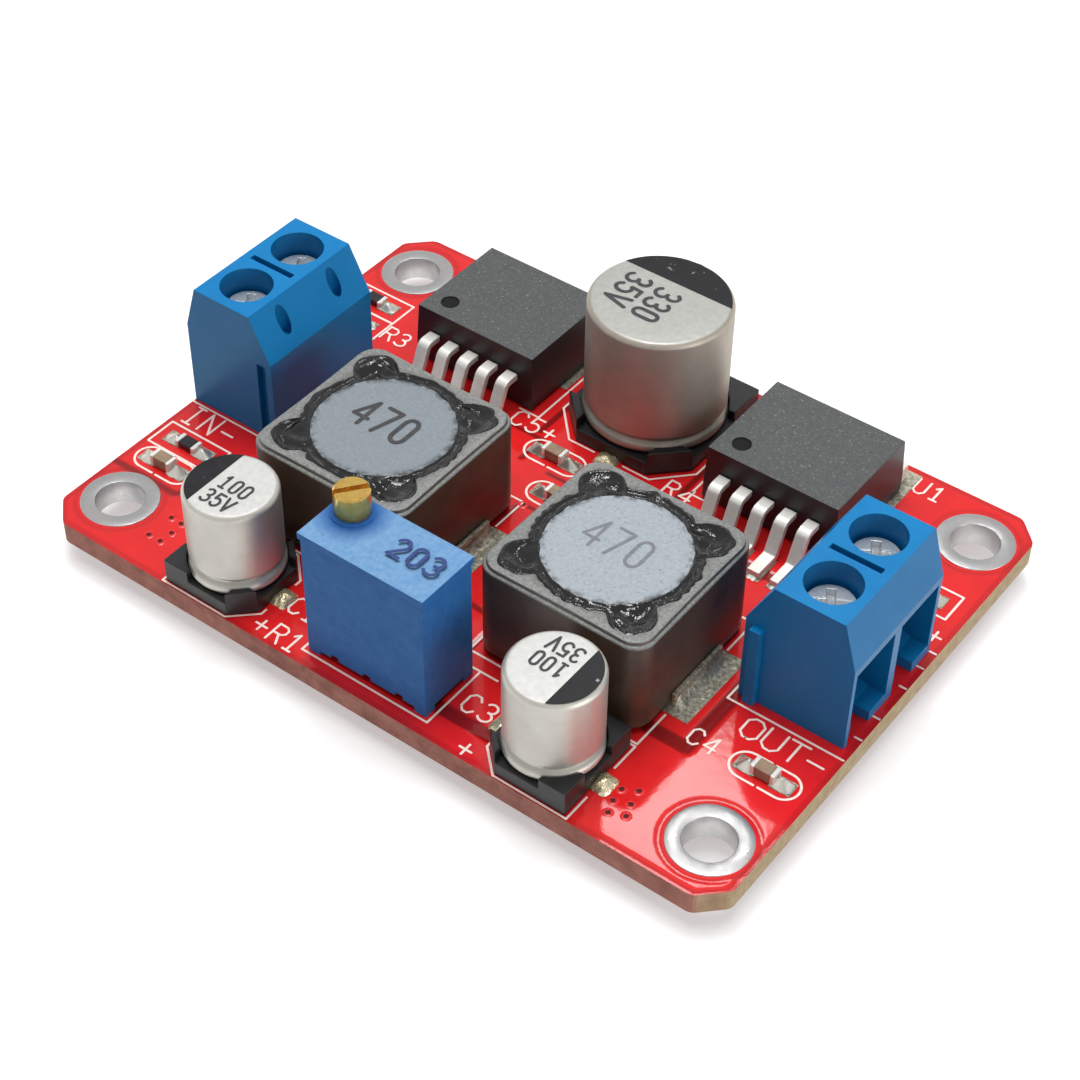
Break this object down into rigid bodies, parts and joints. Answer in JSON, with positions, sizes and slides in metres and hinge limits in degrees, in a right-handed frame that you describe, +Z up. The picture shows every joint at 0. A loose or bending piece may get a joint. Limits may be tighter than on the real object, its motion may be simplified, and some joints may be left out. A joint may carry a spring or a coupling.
{
  "type": "buck-boost converter module",
  "caption": "Small red circuit board that steps a voltage up and down, with blue screw terminals at both ends, shielded coils, can capacitors and a multi-turn trimmer.",
  "frame": {"origin": "under the centre of the board, level with the tips of the soldered pins that it stands on", "axes": "+X from the input terminals to the output terminals, +Y from the trimmer edge to the regulator edge, +Z up"},
  "size_m": [0.053, 0.0388, 0.0152],
  "materials": {
    "board_red": "gloss solder mask on glass-epoxy",
    "tinned": "tinned copper",
    "solder": "bright solder",
    "terminal_blue": "satin moulded plastic",
    "contact_tin": "tinned brass",
    "cage_steel": "zinc-plated steel",
    "screw_steel": "zinc-plated steel",
    "ferrite_black": "lacquered ferrite",
    "ferrite_grey": "ground ferrite",
    "copper_wire": "enamelled copper wire",
    "glue_black": "glossy epoxy",
    "mould_grey": "matte moulding compound",
    "lead_tin": "tin-plated copper",
    "can_aluminium": "satin aluminium",
    "base_black": "black moulded plastic",
    "trimmer_blue": "satin moulded plastic",
    "trimmer_brass": "bare brass",
    "wiper_black": "moulded plastic",
    "element_white": "alumina with resistive film",
    "potting_blue": "cast resin",
    "chip_tan": "fired ceramic",
    "chip_black": "glazed film"
  },
  "bodies": {
    "module": {"circuit_board": "board_red", "hole_plating": "tinned", "solder_pads": "tinned", "solder_joints": "solder", "input_block_housing": "terminal_blue", "input_block_contacts": "contact_tin", "output_block_housing": "terminal_blue", "output_block_contacts": "contact_tin", "boost_coil_shield": "ferrite_black", "boost_coil_core": "ferrite_grey", "boost_coil_winding": "copper_wire", "boost_coil_clips": "lead_tin", "boost_coil_glue": "glue_black", "buck_coil_shield": "ferrite_black", "buck_coil_core": "ferrite_grey", "buck_coil_winding": "copper_wire", "buck_coil_clips": "lead_tin", "buck_coil_glue": "glue_black", "boost_regulator_body": "mould_grey", "boost_regulator_leads": "lead_tin", "boost_regulator_tab": "lead_tin", "buck_regulator_body": "mould_grey", "buck_regulator_leads": "lead_tin", "buck_regulator_tab": "lead_tin", "input_capacitor_can": "can_aluminium", "input_capacitor_base": "base_black", "input_capacitor_leads": "lead_tin", "link_capacitor_can": "can_aluminium", "link_capacitor_base": "base_black", "link_capacitor_leads": "lead_tin", "output_capacitor_can": "can_aluminium", "output_capacitor_base": "base_black", "output_capacitor_leads": "lead_tin", "trimmer_housing": "trimmer_blue", "trimmer_element": "element_white", "trimmer_pins": "contact_tin", "trimmer_seal": "potting_blue", "boost_diode_body": "mould_grey", "boost_diode_leads": "lead_tin", "buck_diode_body": "mould_grey", "buck_diode_leads": "lead_tin", "chip_capacitor_bodies": "chip_tan", "chip_capacitor_ends": "lead_tin", "chip_resistor_bodies": "chip_black", "chip_resistor_ends": "lead_tin"},
    "input_screw_a": {"input_screw_a": "screw_steel"},
    "input_screw_b": {"input_screw_b": "screw_steel"},
    "input_cage_a": {"input_cage_a": "cage_steel"},
    "input_cage_b": {"input_cage_b": "cage_steel"},
    "output_screw_a": {"output_screw_a": "screw_steel"},
    "output_screw_b": {"output_screw_b": "screw_steel"},
    "output_cage_a": {"output_cage_a": "cage_steel"},
    "output_cage_b": {"output_cage_b": "cage_steel"},
    "trimmer_screw": {"trimmer_screw": "trimmer_brass"},
    "trimmer_wiper": {"trimmer_wiper": "wiper_black"}
  },
  "joints": [
    {"name": "input_screw_a_turn", "type": "hinge", "parent": "module", "child": "input_screw_a", "pos_m": [-0.02305, 0.00264, 0.0106], "axis": [0, 0, 1], "range_deg": [0, 1440]},
    {"name": "input_cage_a_lift", "type": "slide", "parent": "module", "child": "input_cage_a", "axis": [0, 0, 1], "range_m": [-0.0018, 0]},
    {"name": "input_screw_b_turn", "type": "hinge", "parent": "module", "child": "input_screw_b", "pos_m": [-0.02305, -0.00244, 0.0106], "axis": [0, 0, 1], "range_deg": [0, 1440]},
    {"name": "input_cage_b_lift", "type": "slide", "parent": "module", "child": "input_cage_b", "axis": [0, 0, 1], "range_m": [-0.0018, 0]},
    {"name": "output_screw_a_turn", "type": "hinge", "parent": "module", "child": "output_screw_a", "pos_m": [0.0225, -0.00244, 0.0106], "axis": [0, 0, 1], "range_deg": [0, 1440]},
    {"name": "output_cage_a_lift", "type": "slide", "parent": "module", "child": "output_cage_a", "axis": [0, 0, 1], "range_m": [-0.0018, 0]},
    {"name": "output_screw_b_turn", "type": "hinge", "parent": "module", "child": "output_screw_b", "pos_m": [0.0225, 0.00264, 0.0106], "axis": [0, 0, 1], "range_deg": [0, 1440]},
    {"name": "output_cage_b_lift", "type": "slide", "parent": "module", "child": "output_cage_b", "axis": [0, 0, 1], "range_m": [-0.0018, 0]},
    {"name": "trimmer_screw_turn", "type": "hinge", "parent": "module", "child": "trimmer_screw", "pos_m": [-0.00325, -0.0149, 0.01343], "axis": [0, 0, 1], "range_deg": [-4500, 4500]},
    {"name": "trimmer_wiper_slide", "type": "slide", "parent": "module", "child": "trimmer_wiper", "axis": [0, 0, 1], "range_m": [-0.0025, 0.0025]}
  ],
  "couplings": [
    {"joint": "input_screw_a_turn", "follows": "input_cage_a_lift", "rad_per_m": -13963},
    {"joint": "input_screw_b_turn", "follows": "input_cage_b_lift", "rad_per_m": -13963},
    {"joint": "output_screw_a_turn", "follows": "output_cage_a_lift", "rad_per_m": -13963},
    {"joint": "output_screw_b_turn", "follows": "output_cage_b_lift", "rad_per_m": -13963},
    {"joint": "trimmer_screw_turn", "follows": "trimmer_wiper_slide", "rad_per_m": 31416}
  ]
}
